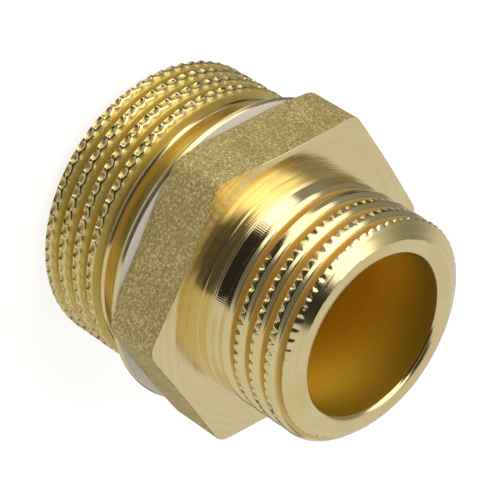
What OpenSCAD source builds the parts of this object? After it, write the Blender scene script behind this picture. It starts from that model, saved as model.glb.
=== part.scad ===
// Reducing hex nipple, male x male, parallel pipe threads.
// One brass forging, drawn as the zones it is machined in. The part stands on
// its large end: axis +Z, origin at the centre of the large end face.

/* [Overall lengths] */
// Total length, end face to end face
total_length = 28.0; // [20:0.1:45]
// Distance from the large end face to the sealing shoulder
shoulder_z = 10.6; // [8:0.1:20]
// Axial thickness of the round collar
collar_t = 1.3; // [0.8:0.1:4]
// Axial thickness of the hexagon
hex_t = 5.8; // [4:0.1:15]

/* [Hexagon and collar] */
// Across flats of the hexagon (27 mm spanner size, forged slightly under)
hex_af = 26.8; // [24:0.1:32]
// Diameter over the trimmed corners of the hexagon
hex_corner_d = 30.4; // [28:0.1:37]
// Diameter at which the corner chamfer of the hexagon starts
hex_face_d = 27.5; // [24:0.1:34]
// Angle of the corner chamfer of the hexagon, from the face
hex_chamfer_deg = 11; // [5:1:30]
// Diameter of the round collar
collar_d = 28.6; // [27:0.1:36]
// Radial width of the bevel under the collar
collar_bevel = 0.9; // [0.2:0.05:1.2]
// Step between the front face of the collar and the hexagon
collar_step = 0.15; // [0:0.05:0.4]

/* [Threads] */
// Major diameter of the large thread, G 3/4
large_major_d = 26.441; // [20:0.001:40]
// Major diameter of the small thread, G 1/2
small_major_d = 20.955; // [12:0.001:30]
// Thread pitch, 14 threads per inch on both ends
thread_pitch = 1.814; // [1:0.001:3]
// Depth of the thread form
thread_depth = 1.162; // [0.5:0.001:2]
// Included angle of the thread form
thread_angle = 55; // [30:1:60]
// Width of the crest land
crest_land = 0.5; // [0.2:0.01:0.55]
// Height of a crest centre of the large thread at zero angle
large_crest_z = 0.906; // [0:0.001:1.9]
// Height of a crest centre of the small thread above the hexagon at zero angle
small_crest_z = 4.066; // [0:0.001:6]

/* [Turned details] */
// Diameter of the thread relief behind the shoulder
relief_d = 24.0; // [20:0.1:28]
// Height of the thin ridge beside the relief
ridge_z = 8.35; // [6:0.05:10]
// Diameter of the thin ridge
ridge_d = 25.7; // [22:0.1:27]
// Radial depth of the end chamfers
end_chamfer_r = 1.6; // [0.5:0.05:2.5]
// Axial length of the end chamfers
end_chamfer_z = 0.95; // [0.3:0.05:2]
// Diameter of the neck beside the hexagon
neck_d = 21.0; // [19:0.1:22]
// Height above the hexagon face of the ring marks on the neck
neck_ring = 1.3; // [0.8:0.05:1.6]
// Diameter the neck tapers to before the thread
neck_small_d = 20.7; // [18:0.1:21]
// Length of the plain neck measured from the hexagon face
neck_end = 2.6; // [1.5:0.05:5]

/* [Bore] */
// Bore through the small end
small_bore_d = 15.0; // [10:0.1:17]
// Bore in the large end
large_bore_d = 19.2; // [12:0.1:21]
// Depth of the large bore
large_bore_depth = 12.4; // [4:0.1:20]
// Edge break of the bore at each end
bore_edge = 0.3; // [0:0.05:1]

/* [View] */
// Which piece to draw

/* [Hidden] */
$fn = 96;
hex_z0 = shoulder_z + collar_t;
hex_z1 = hex_z0 + hex_t;
neck_z1 = hex_z1 + neck_end;
spigot_z1 = ridge_z - 0.55;
R1 = large_major_d / 2;
R2 = small_major_d / 2;
r1 = R1 - thread_depth;
r2 = R2 - thread_depth;
b1 = large_bore_d / 2;
b2 = small_bore_d / 2;
steps = 60;
brass = [0.78, 0.62, 0.30];
blasted = [0.62, 0.54, 0.32];

// Points of the helical groove section at step i: outer edge wide, root narrow.
function groove_pts(i, R, z0) =
    let (a = (i + 0.37) * 360 / steps,
         zc = z0 + thread_pitch * (i + 0.37) / steps,
         over = 0.3,
         flank = tan(thread_angle / 2),
         wo = (thread_pitch - crest_land) / 2 + over * flank,
         wi = (thread_pitch - crest_land) / 2 - thread_depth * flank)
    [for (q = [[R + over, -wo], [R - thread_depth, -wi],
               [R - thread_depth, wi], [R + over, wo]])
        [q[0] * cos(a), q[0] * sin(a), zc + q[1]]];

// A right-hand helical groove from step n0 to step n1; z0 is its centre at step 0.
module helical_groove(R, z0, n0, n1) {
    n = n1 - n0;
    pts = [for (i = [n0 : n1]) each groove_pts(i, R, z0)];
    sides = [for (i = [0 : n - 1]) for (k = [0 : 3])
        let (a = 4 * i + k, b = 4 * i + (k + 1) % 4)
        each [[a, b + 4, b], [a, a + 4, b + 4]]];
    caps = [[0, 1, 2], [0, 2, 3],
            [4 * n + 2, 4 * n + 1, 4 * n], [4 * n + 3, 4 * n + 2, 4 * n]];
    polyhedron(points = pts, faces = concat(sides, caps), convexity = 8);
}

// Threaded tube of the large end, with its end chamfer and run-out slope.
module large_thread_spigot() {
    z1 = spigot_z1;
    color(brass) difference() {
        rotate_extrude() polygon([
            [b1 + bore_edge, 0], [R1 - end_chamfer_r, 0], [R1, end_chamfer_z],
            [R1, z1 - 0.55], [r1, z1], [b1, z1], [b1, bore_edge]]);
        n0 = -ceil(steps * 2.2);
        n1 = ceil(steps * (z1 / thread_pitch + 1.2));
        helical_groove(R1, large_crest_z + thread_pitch / 2, n0, n1);
    }
}

// Undercut behind the sealing shoulder, with the thin ridge left beside it.
module relief_neck() {
    z0 = spigot_z1;
    rr = relief_d / 2;
    rk = ridge_d / 2;
    color(brass) rotate_extrude() polygon([
        [b1, z0], [r1, z0], [r1, z0 + 0.12], [rk, ridge_z - 0.2], [rk, ridge_z + 0.22],
        [rr, ridge_z + 0.42], [rr, shoulder_z], [b1, shoulder_z]]);
}

// Round collar behind the hexagon; its lower face is the sealing shoulder.
module sealing_collar() {
    rc = collar_d / 2;
    ri = hex_af / 2 - 0.1;
    zf = hex_z0 - collar_step;
    color(brass) rotate_extrude() polygon([
        [b1, shoulder_z], [rc - collar_bevel, shoulder_z], [rc - 0.2, shoulder_z + 0.4],
        [rc, zf - 0.45], [rc, zf - 0.15], [rc - 0.15, zf], [ri, zf], [ri, hex_z0], [b1, hex_z0]]);
}

// Forged hexagon with trimmed corners and faintly domed corner chamfers, bored through.
module hex_body() {
    rf = hex_face_d / 2;
    rc = hex_corner_d / 2;
    dome_drop = rf / tan(hex_chamfer_deg);
    dome_r = sqrt(rf * rf + dome_drop * dome_drop);
    zc = max(large_bore_depth, hex_z0 + 0.1);
    color(blasted) difference() {
        intersection() {
            translate([0, 0, hex_z0])
                cylinder(h = hex_t, r = hex_af / 2 / cos(30), $fn = 6);
            translate([0, 0, hex_z0 - 1]) cylinder(h = hex_t + 2, r = rc);
            translate([0, 0, hex_z1 - dome_drop]) sphere(r = dome_r, $fn = 180);
            translate([0, 0, hex_z0 + dome_drop]) sphere(r = dome_r, $fn = 180);
        }
        rotate_extrude() polygon([
            [0, hex_z0 - 1], [b1, hex_z0 - 1], [b1, zc], [b2, zc + b1 - b2],
            [b2, hex_z1 + 1], [0, hex_z1 + 1]]);
    }
}

// Plain turned neck between the hexagon and the small thread, with two ring marks.
module plain_neck() {
    rn = neck_d / 2;
    rt = neck_small_d / 2;
    g = neck_ring;
    color(brass) rotate_extrude() translate([0, hex_z1]) polygon([
        [b2, 0], [rn, 0], [rn, g - 0.16], [rn - 0.1, g - 0.08], [rn - 0.01, g], [rn - 0.1, g + 0.1],
        [rn - 0.02, g + 0.18], [rt, neck_end - 0.15], [rt, neck_end - 0.08], [R2, neck_end], [b2, neck_end]]);
}

// Threaded tube of the small end, with its end chamfer.
module small_thread_spigot() {
    color(brass) difference() {
        rotate_extrude() polygon([
            [b2, neck_z1], [R2, neck_z1], [R2, total_length - end_chamfer_z],
            [R2 - end_chamfer_r, total_length], [b2 + bore_edge, total_length],
            [b2, total_length - bore_edge]]);
        z0 = hex_z1 + small_crest_z - thread_pitch / 2;
        n1 = ceil(steps * ((total_length - z0) / thread_pitch + 1.2));
        helical_groove(R2, z0, -15, n1);
    }
}

large_thread_spigot();
relief_neck();
sealing_collar();
hex_body();
plain_neck();
small_thread_spigot();
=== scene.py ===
"""Looks of the reducing hex nipple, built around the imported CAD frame. Metres, +Z up.

Shapes are worked out in millimetres and become metres when a mesh is made.
"""
import math

import bpy
import numpy as np
from mathutils import Matrix, Vector


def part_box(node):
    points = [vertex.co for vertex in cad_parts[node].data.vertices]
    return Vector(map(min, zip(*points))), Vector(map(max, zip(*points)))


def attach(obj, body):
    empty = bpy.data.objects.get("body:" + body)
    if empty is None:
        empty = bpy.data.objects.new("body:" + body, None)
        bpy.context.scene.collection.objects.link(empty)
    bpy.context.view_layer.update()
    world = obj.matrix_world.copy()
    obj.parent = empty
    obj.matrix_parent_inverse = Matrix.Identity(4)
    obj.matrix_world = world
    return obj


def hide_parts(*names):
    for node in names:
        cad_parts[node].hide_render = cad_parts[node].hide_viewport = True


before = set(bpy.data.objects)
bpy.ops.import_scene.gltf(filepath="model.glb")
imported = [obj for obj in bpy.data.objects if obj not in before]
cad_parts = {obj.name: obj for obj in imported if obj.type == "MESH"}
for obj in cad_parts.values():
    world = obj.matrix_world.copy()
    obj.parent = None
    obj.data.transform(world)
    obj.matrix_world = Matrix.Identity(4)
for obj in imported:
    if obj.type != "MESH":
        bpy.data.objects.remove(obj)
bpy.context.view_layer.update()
MM = 0.001
TAU = 2 * math.pi

# ---------------------------------------------------------------- sizes


def span(node):
    """Lowest and highest z of a CAD node, and its outer radius, in millimetres."""
    lo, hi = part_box(node)
    return lo.z / MM, hi.z / MM, max(hi.x, hi.y) / MM


_, RUNOUT_Z, R_LARGE = span("large_thread_spigot")
_, SHOULDER_Z, R_RIDGE = span("relief_neck")
_, HEX_Z0, R_COLLAR = span("sealing_collar")
_, HEX_Z1, R_CORNER = span("hex_body")
_, NECK_Z1, R_NECK = span("plain_neck")
_, TOP_Z, R_SMALL = span("small_thread_spigot")
HEX_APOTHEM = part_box("hex_body")[1].y / MM

PITCH = 1.814  # of both threads, 14 to the inch
DEPTH = 1.150  # of the groove, a hair less than in CAD
LARGE_CREST_Z = 0.906  # height of a crest centre at zero angle
SMALL_CREST_Z = HEX_Z1 + 4.066
LARGE_TEETH, SMALL_TEETH = 70, 68  # knurl notches in one turn
LARGE_ROOT_R = R_LARGE - 1.162
RUNOUT_LENGTH = 0.55
END_R, END_Z = 1.6, 0.95  # end chamfers, radial and axial
B_LARGE, B_SMALL = 9.6, 7.5  # radii of the stepped bore
STEP_BORE_Z = 12.4
BORE_EDGE = 0.3
RIDGE_Z = 8.35
R_RELIEF = 12.0
COLLAR_FACE_Z = HEX_Z0 - 0.15
HEX_FACE_R = 13.75  # where the chamfer on the back of the hexagon starts
HEX_CHAMFER = math.radians(11)
FACE_RING_R = 12.9  # where the front of the hexagon stops being flat
NECK_RING, NECK_TAPER = 1.3, 0.15


# ---------------------------------------------------------------- mesh helpers


def smooth(a, b, x):
    t = np.clip((x - a) / (b - a), 0, 1)
    return t * t * (3 - 2 * t)


def make_mesh(name, verts, faces, mats, face_mats=None, smooth_deg=35):
    """A mesh object from vertices in millimetres. Doubled corners in a face are dropped, and so are
    faces of no area. face_mats gives some faces, by number, the number of their material. Of the
    others, the long faces of the bore get the last material and the rest the first."""
    clean, keep = [], []
    for i, face in enumerate(faces):
        corners = [face[k] for k in range(len(face)) if face[k] != face[k - 1]]
        if len(set(corners)) >= 3:
            clean.append(corners)
            keep.append(i)
    used = sorted({v for corners in clean for v in corners})
    order = {v: i for i, v in enumerate(used)}
    clean = [[order[v] for v in corners] for corners in clean]
    me = bpy.data.meshes.new(name)
    me.from_pydata([tuple(verts[v] * MM) for v in used], [], clean)
    for m in mats:
        me.materials.append(m)
    face_mats = dict(face_mats or {})
    if len(face_mats) < len(faces):
        pts = np.array([tuple(verts[v]) for v in used])
        rad, hgt = np.hypot(pts[:, 0], pts[:, 1]), pts[:, 2]
        for i, corners in zip(keep, clean):
            in_bore = rad[corners].max() < B_LARGE + 0.05 and np.ptp(hgt[corners]) > 0.5
            face_mats.setdefault(i, len(mats) - 1 if in_bore else 0)
    me.polygons.foreach_set("material_index", [face_mats[i] for i in keep])
    me.polygons.foreach_set("use_smooth", [True] * len(me.polygons))
    me.update()
    me.set_sharp_from_angle(angle=math.radians(smooth_deg))
    ob = bpy.data.objects.new(name, me)
    bpy.context.scene.collection.objects.link(ob)
    return ob


def lathe(name, profile, mats, columns=360, smooth_deg=35, zone=None):
    """A closed (r, z) loop turned about Z. zone is two heights and the number of the material that the
    bands between them get."""
    phi = np.arange(columns) * TAU / columns
    verts = np.concatenate([
        np.stack([r * np.cos(phi), r * np.sin(phi), np.full(columns, float(z))], 1) for r, z in profile])
    faces, own = [], {}
    for j, (_, z) in enumerate(profile):
        k = (j + 1) % len(profile)
        low, high = sorted((z, profile[k][1]))
        for c in range(columns):
            d = (c + 1) % columns
            if zone and zone[0] <= low and high <= zone[1]:
                own[len(faces)] = zone[2]
            faces.append((j * columns + c, j * columns + d, k * columns + d, k * columns + c))
    return make_mesh(name, verts, faces, mats, own, smooth_deg)


def rounded(points, radius, steps=4):
    """A polyline whose inner corners are rounded by up to radius."""
    out = [points[0]]
    for a, b, c in zip(points, points[1:], points[2:]):
        a, b, c = (np.array(q, float) for q in (a, b, c))
        u, v = a - b, c - b
        lu, lv = np.linalg.norm(u), np.linalg.norm(v)
        t = min(radius, 0.45 * lu, 0.45 * lv)
        p, q = b + u / lu * t, b + v / lv * t
        for i in range(steps + 1):
            s = i / steps
            out.append(tuple((1 - s) ** 2 * p + 2 * s * (1 - s) * b + s * s * q))
    out.append(points[-1])
    return out


# ---------------------------------------------------------------- threads


# One pitch of the thread: height above the crest centre, and depth below the crest. The lower side is
# a plain flank; the upper side has a soft shoulder, a small ledge and then the steep flank.
FORM = ((-0.854, 1.150), (-0.80, 1.10), (-0.54, 0.56), (-0.30, 0.06), (-0.255, 0.015), (-0.22, 0.0),
        (0.24, 0.0), (0.30, 0.03), (0.58, 0.34), (0.61, 0.36), (0.65, 0.375), (0.68, 0.42), (0.91, 1.08),
        (0.96, 1.150))
FORM_S = np.array([q[0] for q in FORM])
FORM_D = np.array([q[1] for q in FORM])
# where the mesh has a row of vertices: the corners of the form, and some more for the knurl
ROWS = np.unique(np.round(np.concatenate([
    FORM_S[:-1], [-0.67, -0.42], np.linspace(-0.15, 0.17, 5), [0.36, 0.43, 0.50, 0.76, 0.84]]), 4))


def soft_max(a, b, k=0.03):
    """The larger of two depths, with the edge between them rounded by about k."""
    return 0.5 * (a + b + np.sqrt((a - b) ** 2 + k * k)) - 0.5 * k * np.exp(-(((a - b) / k) ** 2))


def tooth_phase(turn):
    """How far from the middle of the nearest notch: 0 there, 0.5 midway between two."""
    return np.abs(((turn / TAU + 0.5) % 1) - 0.5)


def large_knurl(turn, s, wild):
    """Straight knurl: round-bottomed notches pressed across the crest, fading towards the upper flank."""
    depth, half_width = 0.25 + 0.03 * wild, 0.375
    a = (tooth_phase(turn) + 0.012 * wild) / half_width
    u = np.clip(1 - a * a, 0, 1) ** 0.8
    return depth * u * smooth(-0.30, -0.16, s) * (1 - 0.75 * smooth(0.05, 0.36, s))


def small_knurl(turn, s, wild):
    """Pyramid dents along the lower edge of the crest, their points towards the upper one."""
    depth, half_width, slope = 0.21 + 0.03 * wild, 0.33, 0.36
    a = tooth_phase(turn) / half_width
    return np.maximum(0, depth * (1 - a) - slope * np.clip(s + 0.22, 0, 1))


def threaded(name, mats, crest_r, crest_z, z_lo, z_hi, blank, teeth, columns, knurl, inner, fade, start,
             seed, lobe=0.0):
    """A threaded tube. Its rows follow the helix, so crests stay crisp.

    blank(z) is the turned blank it is cut from. columns are the places of the vertices across one
    tooth of the knurl. inner lists the rest of the closed section, from the top of the outer face
    round to its foot. fade is the height range over which the groove comes in, and start the one over
    which the knurl does. lobe is how far pressed-out metal bulges over the upper flank at a notch."""
    rng = np.random.default_rng(seed)
    cols = teeth * len(columns)
    phi = (np.arange(teeth)[:, None] + np.array(columns)[None, :]).ravel() * TAU / teeth
    per_pitch = len(ROWS)
    turns = int(math.ceil((z_hi - z_lo) / PITCH)) + 3
    first = math.floor((z_lo - crest_z) / PITCH) - 2
    base = np.concatenate([crest_z + (first + k) * PITCH + ROWS for k in range(turns + 1)])
    rows = len(base)
    jitter = rng.normal(0, 1, (turns + 3, teeth)).clip(-2, 2)
    rise = PITCH * phi[None, :] / TAU
    Z = base[:, None] + rise
    low, high = Z <= z_lo + 1e-4, Z >= z_hi - 1e-4
    Z = np.clip(Z, z_lo, z_hi)
    k = np.floor((Z - crest_z - rise - FORM_S[0]) / PITCH)
    s = Z - crest_z - rise - k * PITCH
    crest_here = crest_z + rise + k * PITCH
    turn = teeth * phi[None, :] + 0 * Z
    tooth = np.floor(turn / TAU + 0.5).astype(int) % teeth
    wild = jitter[np.clip(k - k.min(), 0, turns + 2).astype(int), tooth]
    bulge = (lobe * (1 - 2 * tooth_phase(turn)) ** 1.5 * (1 + 0.15 * wild)
             * smooth(0.16, 0.30, s) * (1 - smooth(0.50, 0.68, s)))
    groove_here = crest_here + np.where(s > 0, 0.5, -0.5) * PITCH
    drop = np.interp(s - bulge, FORM_S, FORM_D) * smooth(*fade, groove_here)
    notch = knurl(turn, s, wild) * smooth(*start, crest_here)
    notch = notch * (1 + 0.10 * rng.normal(0, 1, notch.shape).clip(-2, 2))
    rad = crest_r - np.where(notch > 0, soft_max(drop, notch), drop)
    rad = np.minimum(rad, crest_r)
    rad = np.minimum(rad, blank(Z) - 0.45 * notch * smooth(-0.08, -0.22, s))
    X, Y = rad * np.cos(phi), rad * np.sin(phi)
    verts, ids = [], np.zeros((rows, cols), int)
    for j in range(rows):
        for c in range(cols):
            if j and ((low[j, c] and low[j - 1, c]) or (high[j, c] and high[j - 1, c])):
                ids[j, c] = ids[j - 1, c]
            else:
                ids[j, c] = len(verts)
                verts.append((X[j, c], Y[j, c], Z[j, c]))
    faces = []
    for j in range(rows - 1):
        for c in range(cols):
            if c + 1 < cols:
                a, b = ids[j, c + 1], ids[j + 1, c + 1]
            else:  # one turn further round the same row lies a pitch higher
                a, b = ids[min(j + per_pitch, rows - 1), 0], ids[min(j + per_pitch + 1, rows - 1), 0]
            faces.append((ids[j, c], a, b, ids[j + 1, c]))
    rings = [ids[rows - 1]]
    for r, z in inner:
        rings.append(np.arange(cols) + len(verts))
        verts.extend(zip(r * np.cos(phi), r * np.sin(phi), np.full(cols, float(z))))
    rings.append(ids[0])
    for prev, ring in zip(rings, rings[1:]):
        for c in range(cols):
            d = (c + 1) % cols
            faces.append((prev[c], prev[d], ring[d], ring[c]))
    return make_mesh(name, np.array(verts), faces, mats, smooth_deg=50)


# ---------------------------------------------------------------- node helpers


class Val:
    """A shader value that can be added, multiplied and so on."""

    def __init__(self, tree, out):
        self.t, self.o = tree, out

    def _op(self, op, *args):
        n = self.t.nodes.new("ShaderNodeMath")
        n.operation = op
        for i, a in enumerate((self,) + args):
            if isinstance(a, Val):
                self.t.links.new(a.o, n.inputs[i])
            else:
                n.inputs[i].default_value = a
        return Val(self.t, n.outputs[0])

    def __add__(self, b): return self._op("ADD", b)
    def __sub__(self, b): return self._op("SUBTRACT", b)
    def __mul__(self, b): return self._op("MULTIPLY", b)
    def abs(self): return self._op("ABSOLUTE")
    def sqrt(self): return self._op("SQRT")
    def sin(self): return self._op("SINE")
    def cos(self): return self._op("COSINE")
    def atan2(self, b): return self._op("ARCTAN2", b)
    def max(self, b): return self._op("MAXIMUM", b)
    def inv(self): return (self * -1.0) + 1.0

    def step(self, a, b, lo=0.0, hi=1.0):
        """A smooth step from lo at a to hi at b."""
        n = self.t.nodes.new("ShaderNodeMapRange")
        n.interpolation_type = "SMOOTHSTEP"
        self.t.links.new(self.o, n.inputs["Value"])
        for key, v in (("From Min", a), ("From Max", b), ("To Min", lo), ("To Max", hi)):
            n.inputs[key].default_value = v
        return Val(self.t, n.outputs["Result"])


def xyz(tree, source="Object"):
    tc = tree.nodes.new("ShaderNodeTexCoord")
    sep = tree.nodes.new("ShaderNodeSeparateXYZ")
    tree.links.new(tc.outputs[source], sep.inputs[0])
    return [Val(tree, o) for o in sep.outputs]


def vector(tree, x, y, z):
    n = tree.nodes.new("ShaderNodeCombineXYZ")
    for i, v in enumerate((x, y, z)):
        tree.links.new(v.o, n.inputs[i])
    return n.outputs[0]


def noise(tree, vec, scale, detail, rough):
    n = tree.nodes.new("ShaderNodeTexNoise")
    tree.links.new(vec, n.inputs["Vector"])
    n.inputs["Scale"].default_value = scale
    n.inputs["Detail"].default_value = detail
    n.inputs["Roughness"].default_value = rough
    return Val(tree, n.outputs["Fac"])


def ramp(tree, fac, stops):
    n = tree.nodes.new("ShaderNodeValToRGB")
    while len(n.color_ramp.elements) < len(stops):
        n.color_ramp.elements.new(0.5)
    for e, (p, c) in zip(n.color_ramp.elements, stops):
        e.position, e.color = p, (*c, 1)
    tree.links.new(fac.o, n.inputs[0])
    return n.outputs[0]


def toward(tree, colour, other, fac):
    """The colour, moved towards a fixed other one by fac."""
    n = tree.nodes.new("ShaderNodeMix")
    n.data_type = "RGBA"
    tree.links.new(fac.o, n.inputs[0])
    tree.links.new(colour, n.inputs[6])
    n.inputs[7].default_value = (*other, 1)
    return n.outputs[2]


def bump(tree, height, strength, distance, normal=None):
    n = tree.nodes.new("ShaderNodeBump")
    n.inputs["Strength"].default_value = strength
    n.inputs["Distance"].default_value = distance
    tree.links.new(height.o, n.inputs["Height"])
    if normal is not None:
        tree.links.new(normal, n.inputs["Normal"])
    return n.outputs[0]


def material(name, metallic=1.0):
    m = bpy.data.materials.new(name)
    m.use_nodes = True
    bsdf = m.node_tree.nodes["Principled BSDF"]
    bsdf.inputs["Metallic"].default_value = metallic
    return m, m.node_tree, bsdf


def turned_brass(name, light=(0.91, 0.775, 0.445), dark=(0.83, 0.665, 0.335), lines=1.0, rough=0.17,
                 aniso=0.55, metallic=1.0, crest=None, groove_bounce_colour=(0.84, 0.60, 0.19), dull_from=0.3, z_top=0.0,
                 chatter=0.0, mouth=None):
    """Machined brass: fine lines round the axis, faint tarnish, highlights stretched across the lines.

    crest is the crest radius of a thread. Its lines climb with the helix, and from dull_from below the
    crest, except on the end chamfers below END_Z and above z_top, the surface is duller and bumpier and
    takes the groove colour, a deeper, less metallic gold that is painted bounce light and shade in the
    groove. chatter adds faint marks along the axis. mouth is the height at which a bore opens, and the
    colour is darkened towards it as painted shade."""
    m, t, b = material(name, metallic)
    x, y, z = xyz(t)
    p = vector(t, x, y, z)
    r = (x * x + y * y).sqrt()
    a = y.atan2(x)
    if crest:
        w = z * (TAU / (PITCH * MM)) - a
        fine = noise(t, vector(t, w.cos() * 5.0, w.sin() * 5.0, a * 0.8), 1.0, 3.0, 0.6)
        broad = noise(t, vector(t, w.cos() * 1.7, w.sin() * 1.7, a * 0.35), 1.0, 2.0, 0.5)
    else:
        fine = noise(t, vector(t, r * 9000.0, z * 9000.0, a * 0.8), 1.0, 3.0, 0.6)
        broad = noise(t, vector(t, r * 2600.0, z * 2600.0, a * 0.35), 1.0, 2.0, 0.5)
    patch = noise(t, p, 240.0, 4.0, 0.6)
    speck = noise(t, p, 2600.0, 2.0, 0.5).step(0.70, 0.80)
    tone = (fine * 0.35 + broad * 0.35 + patch * 0.30).step(0.30, 0.70)
    colour = ramp(t, tone, [(0.0, dark), (1.0, light)])
    # painted shade: inside the bore the colour is darkened towards the height of its mouth
    if mouth:
        colour = toward(t, colour, (0.28, 0.15, 0.006), z.step((mouth - 7) * MM, (mouth - 0.5) * MM))
    dull = fine * 0.10 + patch * 0.08 + speck * 0.15 + (rough - 0.09)
    n = bump(t, broad, 0.5 * lines, 0.000030)
    n = bump(t, fine, 0.6 * lines, 0.000008, n)
    if crest:
        below = (r * -1000.0 + crest).step(dull_from, dull_from + 0.13)
        below = below * z.step((END_Z - 0.02) * MM, (END_Z + 0.02) * MM)
        below = below * z.step((z_top - 0.02) * MM, z_top * MM, 1.0, 0.0)
        # painted bounce light and shade: below the crest the colour goes to a deeper gold and the surface is
        # made less metallic
        colour = toward(t, colour, groove_bounce_colour, below)
        dull = dull + below * 0.14
        n = bump(t, noise(t, p, 6500.0, 2.0, 0.6) * below, 0.8, 0.000045, n)
        t.links.new((below * -0.35 + 1.0).o, b.inputs["Metallic"])
    if chatter:
        marks = (a * 330.0 + patch * 6.0).sin() * noise(t, p, 420.0, 1.0, 0.5).step(0.35, 0.6)
        n = bump(t, marks * 0.5 + 0.5, chatter, 0.0000040, n)
    t.links.new(colour, b.inputs["Base Color"])
    t.links.new(dull.o, b.inputs["Roughness"])
    t.links.new(n, b.inputs["Normal"])
    tangent = t.nodes.new("ShaderNodeTangent")
    tangent.direction_type, tangent.axis = "RADIAL", "Z"
    t.links.new(tangent.outputs[0], b.inputs["Tangent"])
    b.inputs["Anisotropic"].default_value = aniso
    b.inputs["Anisotropic Rotation"].default_value = 0.25
    return m


def blasted_brass(name):
    """Shot-blasted forging skin: matt olive brass with a bright sparkling grain."""
    m, t, b = material(name, metallic=0.45)
    x, y, z = xyz(t)
    p = vector(t, x, y, z)
    grain = noise(t, p, 5200.0, 3.0, 0.65)
    pits = noise(t, p, 3000.0, 3.0, 0.6)
    cloud = noise(t, p, 330.0, 4.0, 0.6)
    tone = (grain * 0.58 + pits * 0.30 + cloud * 0.12).step(0.36, 0.66)
    stops = [(0.0, (0.32, 0.235, 0.070)), (0.55, (0.50, 0.385, 0.135)), (1.0, (0.84, 0.70, 0.33))]
    t.links.new(ramp(t, tone, stops), b.inputs["Base Color"])
    t.links.new((grain * -0.22 + cloud * 0.10 + 0.60).o, b.inputs["Roughness"])
    n = bump(t, pits, 0.6, 0.00008)
    n = bump(t, grain, 0.9, 0.00006, n)
    t.links.new(n, b.inputs["Normal"])
    return m


# ---------------------------------------------------------------- materials

TURNED = turned_brass("turned_brass")
NECK = turned_brass("neck_brass", lines=0.7, rough=0.14, chatter=1.0)
THREAD_TONES = {"light": (0.90, 0.76, 0.42), "dark": (0.82, 0.64, 0.29)}
# the groove colour given here is painted bounce light and shade
THREAD_L = turned_brass("large_thread_brass", **THREAD_TONES, crest=R_LARGE, groove_bounce_colour=(0.74, 0.56, 0.16),
                        dull_from=0.05, z_top=RUNOUT_Z + 1)
THREAD_S = turned_brass("small_thread_brass", **THREAD_TONES, crest=R_SMALL, dull_from=0.30,
                        z_top=TOP_Z - END_Z)
# inside the bores: a saturated orange, almost matt colour that is painted bounce light and painted shade,
# not the brass's own colour
BORE_PAINTED_BOUNCE = turned_brass("bore_painted_bounce_and_shade", light=(1.0, 0.65, 0.050), dark=(0.92, 0.55, 0.030), lines=0.9,
                    rough=0.50, aniso=0.4, metallic=0.15, mouth=TOP_Z)
BORE_PAINTED_BOUNCE.node_tree.nodes["Principled BSDF"].inputs["Specular IOR Level"].default_value = 0.1
# the recess between the ridge and the collar: a darker, browner brass that is painted shade
RELIEF_PAINTED_SHADE = turned_brass("relief_painted_shade", light=(0.68, 0.51, 0.16), dark=(0.55, 0.40, 0.10), rough=0.36,
                      aniso=0.4, metallic=0.7)
# the sealing face of the collar: a near-white, almost matt ring that is a painted highlight, not the brass's
# own colour
PALE_PAINTED_HIGHLIGHT = turned_brass("pale_ring_painted_highlight", light=(0.97, 0.92, 0.82), dark=(0.90, 0.84, 0.72), rough=0.45,
                    aniso=0.2, metallic=0.05)
BLASTED = blasted_brass("blasted_brass")

# ---------------------------------------------------------------- pieces


def blank_large(z):
    """Radius of the turned blank of the large spigot: end chamfer, crest, run-out slope."""
    end = R_LARGE - END_R * np.clip(1 - z / END_Z, 0, 1)
    runout = R_LARGE - DEPTH * np.clip((z - (RUNOUT_Z - RUNOUT_LENGTH)) / RUNOUT_LENGTH, 0, 1)
    return np.minimum(end, runout)


def blank_small(z):
    """Radius of the turned blank of the small spigot: crest and end chamfer."""
    return R_SMALL - END_R * np.clip(1 - (TOP_Z - z) / END_Z, 0, 1)


EVERYWHERE = (-9, -8)  # a height range below the part, so what comes in over it is there from the start
large = threaded(
    "large_thread_detail", [THREAD_L, BORE_PAINTED_BOUNCE], R_LARGE, LARGE_CREST_Z, 0.0, RUNOUT_Z, blank_large,
    LARGE_TEETH, (0.0, 0.13, 0.25, 0.31, 0.37, 0.5, 0.63, 0.69, 0.75, 0.87), large_knurl,
    inner=[(B_LARGE, RUNOUT_Z), (B_LARGE, BORE_EDGE), (B_LARGE + BORE_EDGE, 0.0)],
    fade=EVERYWHERE, start=EVERYWHERE, seed=1, lobe=0.24)
small = threaded(
    "small_thread_detail", [THREAD_S, BORE_PAINTED_BOUNCE], R_SMALL, SMALL_CREST_Z, NECK_Z1, TOP_Z, blank_small,
    SMALL_TEETH, (0.0, 0.1, 0.2, 0.3, 0.36, 0.5, 0.64, 0.7, 0.8, 0.9), small_knurl,
    inner=[(B_SMALL + BORE_EDGE, TOP_Z), (B_SMALL, TOP_Z - BORE_EDGE), (B_SMALL, NECK_Z1)],
    fade=(NECK_Z1 - 0.1, NECK_Z1 + 0.7), start=(HEX_Z1 + 4.36, HEX_Z1 + 4.48), seed=4)

# the bands of the recess take the darker relief material, which is painted shade
relief = lathe("relief_detail", [(B_LARGE, RUNOUT_Z)] + rounded([
    (LARGE_ROOT_R, RUNOUT_Z), (LARGE_ROOT_R, RUNOUT_Z + 0.12), (R_RIDGE, RIDGE_Z - 0.2),
    (R_RIDGE, RIDGE_Z + 0.22), (R_RELIEF - 0.1, RIDGE_Z + 0.44), (R_RELIEF + 0.08, RIDGE_Z + 1.05),
    (R_RELIEF + 0.2, SHOULDER_Z - 0.2), (R_RELIEF, SHOULDER_Z)], 0.05) + [(B_LARGE, SHOULDER_Z)],
    [TURNED, RELIEF_PAINTED_SHADE, BORE_PAINTED_BOUNCE], zone=(RIDGE_Z + 0.38, SHOULDER_Z - 0.05, 1))
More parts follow.
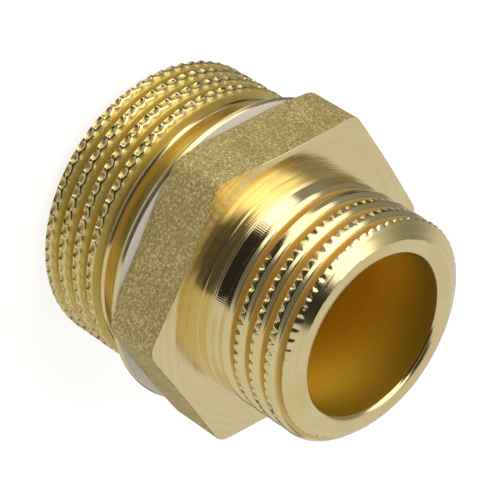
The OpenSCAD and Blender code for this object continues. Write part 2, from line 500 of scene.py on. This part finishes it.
# the bands of the sealing face take the pale ring, which is a painted highlight
collar = lathe("collar_detail", [(B_LARGE, SHOULDER_Z)] + rounded([
    (R_RELIEF, SHOULDER_Z), (R_COLLAR - 0.9, SHOULDER_Z), (R_COLLAR - 0.2, SHOULDER_Z + 0.4),
    (R_COLLAR - 0.02, COLLAR_FACE_Z - 0.42), (R_COLLAR - 0.13, COLLAR_FACE_Z - 0.34),
    (R_COLLAR, COLLAR_FACE_Z - 0.28), (R_COLLAR, COLLAR_FACE_Z - 0.20),
    (R_COLLAR - 0.12, COLLAR_FACE_Z - 0.06), (HEX_APOTHEM - 0.05, HEX_Z0), (HEX_APOTHEM - 0.3, HEX_Z0)],
    0.05) + [(B_LARGE, HEX_Z0)],
    [TURNED, PALE_PAINTED_HIGHLIGHT, BORE_PAINTED_BOUNCE], zone=(COLLAR_FACE_Z - 0.08, HEX_Z0 + 0.01, 1))


def neck_profile():
    """Straight lower neck with fine turned ridges, two ring marks, then a slight taper to the thread."""
    top, g = NECK_Z1 - HEX_Z1, NECK_RING
    taper_z0, taper_z1 = g + 0.24, top - 0.2
    out = [(R_NECK, 0.0), (R_NECK - 0.035, 0.03), (R_NECK - 0.02, 0.08)]
    steps, height = 60, 0.0045
    for i in range(steps + 1):
        f = i / steps
        wave = math.sin(TAU * 9 * f + 1.5 * math.sin(TAU * 2.3 * f))
        swell = 0.25 + 0.75 * smooth(0.25, 0.55, f)
        out.append((R_NECK - 0.006 + height * wave * swell, 0.12 + (g - 0.34) * f))
    out += [(R_NECK, g - 0.16), (R_NECK - 0.08, g - 0.09), (R_NECK - 0.005, g - 0.02),
            (R_NECK - 0.01, g + 0.04), (R_NECK - 0.09, g + 0.11), (R_NECK - 0.02, g + 0.19),
            (R_NECK - 0.03, taper_z0)]
    for f in (0.3, 0.7, 1.0):
        out.append((R_NECK - 0.03 - (NECK_TAPER - 0.03) * f, taper_z0 + (taper_z1 - taper_z0) * f))
    out += [(R_NECK - NECK_TAPER - 0.01, top - 0.15), (R_NECK - NECK_TAPER, top - 0.09),
            (R_SMALL - 0.03, top - 0.04), (R_SMALL, top)]
    return [(r, HEX_Z1 + z) for r, z in out]


neck = lathe("neck_detail", [(B_SMALL, HEX_Z1)] + neck_profile() + [(B_SMALL, NECK_Z1)], [NECK, BORE_PAINTED_BOUNCE])


def hex_piece():
    """The hexagon as a ring grid: each column is one azimuth, each row a place on the section."""
    cols = 720
    phi = (np.arange(cols) + 0.5) * TAU / cols
    flat_r = HEX_APOTHEM / np.cos(np.abs(phi % (math.pi / 3) - math.pi / 6))
    k = 0.16  # how softly the flats run into the trimmed corners
    r_out = 0.5 * (flat_r + R_CORNER - np.sqrt((flat_r - R_CORNER) ** 2 + k * k)) + 0.02
    r_out = np.minimum(r_out, R_CORNER)
    dome_drop = HEX_FACE_R / math.tan(HEX_CHAMFER)
    dome_r = math.hypot(HEX_FACE_R, dome_drop)

    def back_drop(r):
        """The back face: flat in the middle, a faint dome on the corners."""
        return np.maximum(0, dome_drop - np.sqrt(np.maximum(dome_r * dome_r - r * r, 0)))

    def front_drop(r):
        """The turned front: flat in the middle, a shallow cone round it, flatter again on the corners."""
        return np.clip(r - FACE_RING_R, 0, 0.85) * 0.24 + np.maximum(r - FACE_RING_R - 0.85, 0) * 0.105

    turned, blasted, bore = range(3)
    rows = [(np.full(cols, B_SMALL), np.full(cols, HEX_Z1), turned)]
    rings = (10.3, 11.6, FACE_RING_R - 0.05, FACE_RING_R + 0.05, 13.3, FACE_RING_R + 0.80,
             FACE_RING_R + 0.90, 14.4)
    for i, ring in enumerate(rings):
        r = np.minimum(ring, r_out - 0.07 - 0.01 * (len(rings) - i))
        rows.append((r, HEX_Z1 - front_drop(r), turned))
    edge, arc = 0.06, 4  # radius of the rounded edges, and steps round them
    top, bottom = HEX_Z1 - front_drop(r_out) - edge, HEX_Z0 + back_drop(r_out) + edge
    for i in range(arc + 1):
        a = math.pi / 2 * i / arc
        rows.append((r_out - edge + edge * math.sin(a), top + edge * math.cos(a), blasted))
    for f in np.linspace(0.1, 0.9, 9):
        rows.append((r_out, top + (bottom - top) * f, blasted))
    for i in range(arc + 1):
        a = math.pi / 2 * i / arc
        rows.append((r_out - edge + edge * math.cos(a), bottom - edge * math.sin(a),
                     blasted if i < arc else turned))
    for f in (0.97, 0.9, 0.75, 0.5):
        r = B_LARGE + (r_out - B_LARGE) * f
        rows.append((r, HEX_Z0 + back_drop(r), turned))
    for r, z in ((B_LARGE, HEX_Z0), (B_LARGE, STEP_BORE_Z), (B_SMALL, STEP_BORE_Z + B_LARGE - B_SMALL)):
        rows.append((np.full(cols, r), np.full(cols, z), bore))
    verts = np.concatenate([np.stack([r * np.cos(phi), r * np.sin(phi), z], 1) for r, z, _ in rows])
    faces, face_mats = [], {}
    for j, (_, _, mat) in enumerate(rows):
        k = (j + 1) % len(rows)
        for c in range(cols):
            d = (c + 1) % cols
            face_mats[len(faces)] = mat
            faces.append((j * cols + c, k * cols + c, k * cols + d, j * cols + d))
    return make_mesh("hex_detail", verts, faces, [TURNED, BLASTED, BORE_PAINTED_BOUNCE], face_mats, smooth_deg=28)


hexagon = hex_piece()
for ob, node, slot in ((large, "large_thread_spigot", "turned_brass"),
                       (small, "small_thread_spigot", "turned_brass"),
                       (relief, "relief_neck", "turned_brass"), (collar, "sealing_collar", "turned_brass"),
                       (neck, "plain_neck", "turned_brass"), (hexagon, "hex_body", "blasted_brass")):
    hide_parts(node)
    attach(ob, "root")

# ---------------------------------------------------------------- floor

bpy.ops.mesh.primitive_plane_add(size=8.0, location=(0, 0, -0.00002))
floor = bpy.context.object
floor.name = "floor"
floor_mat, _, floor_bsdf = material("floor_white", metallic=0.0)
floor_bsdf.inputs["Base Color"].default_value = (0.50, 0.50, 0.495, 1)
floor_bsdf.inputs["Roughness"].default_value = 0.9
floor_bsdf.inputs["Emission Color"].default_value = (1, 1, 1, 1)
floor_bsdf.inputs["Emission Strength"].default_value = 0.76
floor.data.materials.append(floor_mat)
floor.visible_glossy = False

# the part stands on the floor, so little light comes up its bore: this dark, brass-brown disc hidden under
# the part is painted shade, and its golden tint is a painted bounce, for what is seen inside the bore
bpy.ops.mesh.primitive_circle_add(vertices=48, radius=10.5 * MM, fill_type="NGON", location=(0, 0, -0.00001))
shade = bpy.context.object
shade.name = "floor_under_bore"
shade_mat, _, shade_bsdf = material("floor_shade", metallic=0.0)
shade_bsdf.inputs["Base Color"].default_value = (0.60, 0.36, 0.06, 1)
shade.data.materials.append(shade_mat)

# ---------------------------------------------------------------- light: a pale studio, by direction

world = bpy.data.worlds.new("studio")
bpy.context.scene.world = world
world.use_nodes = True
wt = world.node_tree
bg = wt.nodes["Background"]
dx, dy, dz = xyz(wt, "Generated")
azimuth = dy.atan2(dx)
BASE, LIT, FAR, NADIR = 0.66, 1.3, -0.40, 0.10

# a tall dark slot in front of the part, narrower overhead
half = dz.step(0.62, 0.97, 0.56, 0.22)
shift = dz.step(0.62, 0.97, 0.10, 0.0)
front = dy.step(-0.40, -0.10) * dz.step(-0.74, -0.68)
dark = ((dx - shift).abs() - half).step(-0.02, 0.02, 1.0, 0.0) * front
dark = dark * (dz.step(0.62, 0.70) * dz.step(0.84, 0.92, 1.0, 0.0) * -0.30 + 1.0)

# a bright strip beside it, and everything past the strip darker
side = dx - shift - half
near_y = dy - dz.step(0.0, 0.7, 0.10, -0.35)
lit = side.step(-0.02, 0.02) * side.step(0.27, 0.35, 1.0, 0.0) * near_y.step(-0.08, 0.08)
wedge = azimuth.step(-1.4, -1.1) * azimuth.step(0.10, 0.28, 1.0, 0.0) * dz.step(0.55, 0.85, 1.0, 0.0)
far = (side.step(0.0, 0.05) * lit.inv()).max(wedge)
glow = lit * LIT + far * FAR + dz.step(-0.66, -0.74) * NADIR + BASE
glow = glow * (dark * 0.97).inv()

# two more dark bars low down at the back keep the round surfaces readable from there
for centre in (math.radians(-150), math.radians(-40)):
    bar = (azimuth - centre).abs().step(0.16, 0.24, 1.0, 0.0) * dz.step(-0.05, 0.1, 1.0, 0.0)
    glow = glow * (bar * 0.85).inv()

# the camera itself sees plain white
light_path = wt.nodes.new("ShaderNodeLightPath")
cam_ray = Val(wt, light_path.outputs["Is Camera Ray"])
glow = glow * cam_ray.inv() + cam_ray * 0.98
wt.links.new(glow.o, bg.inputs["Strength"])
bg.inputs["Color"].default_value = (1.0, 0.995, 0.98, 1)

# ---------------------------------------------------------------- camera

cam_data = bpy.data.cameras.new("camera")
cam = bpy.data.objects.new("camera", cam_data)
bpy.context.scene.collection.objects.link(cam)
cam_data.sensor_width, cam_data.lens = 36.0, 213.8
cam_data.clip_start, cam_data.clip_end = 0.01, 20.0
eye = Vector((59.52, 194.91, HEX_Z1 + 146.36)) * MM
gaze = Vector((-0.23239, -0.76764, -0.59726))
turn = gaze.to_track_quat("-Z", "Y").to_matrix() @ Matrix.Rotation(math.radians(122.49), 3, "Z")
cam.matrix_world = Matrix.Translation(eye) @ turn.to_4x4()
bpy.context.scene.camera = cam
bpy.context.scene.view_settings.view_transform = "Standard"
bpy.context.scene.view_settings.look = "None"
